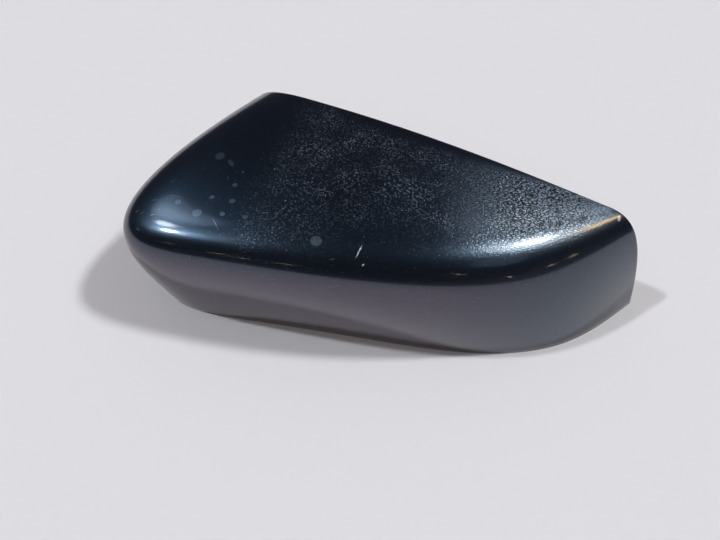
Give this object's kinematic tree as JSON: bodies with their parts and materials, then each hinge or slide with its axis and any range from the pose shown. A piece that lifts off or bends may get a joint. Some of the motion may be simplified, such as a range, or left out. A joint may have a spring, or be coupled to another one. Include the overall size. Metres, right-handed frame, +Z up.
{
  "type": "wing mirror cover",
  "caption": "Gloss black outer cap of a car's wing mirror: a hollow moulded shell with a crowned face, a tall side wall, locating pegs and snap clips.",
  "frame": {"origin": "bottom centre of the bounding box, on the plane that the wall's foot stands on", "axes": "+X along the length from the round nose towards the pointed end, +Y from the tall front wall towards the long cut edge, +Z up, away from the open side"},
  "size_m": [0.2369, 0.1062, 0.0627],
  "materials": {
    "black_painted_abs": "gloss"
  },
  "bodies": {
    "root": {"mirror_cover": "black_painted_abs"}
  },
  "joints": []
}
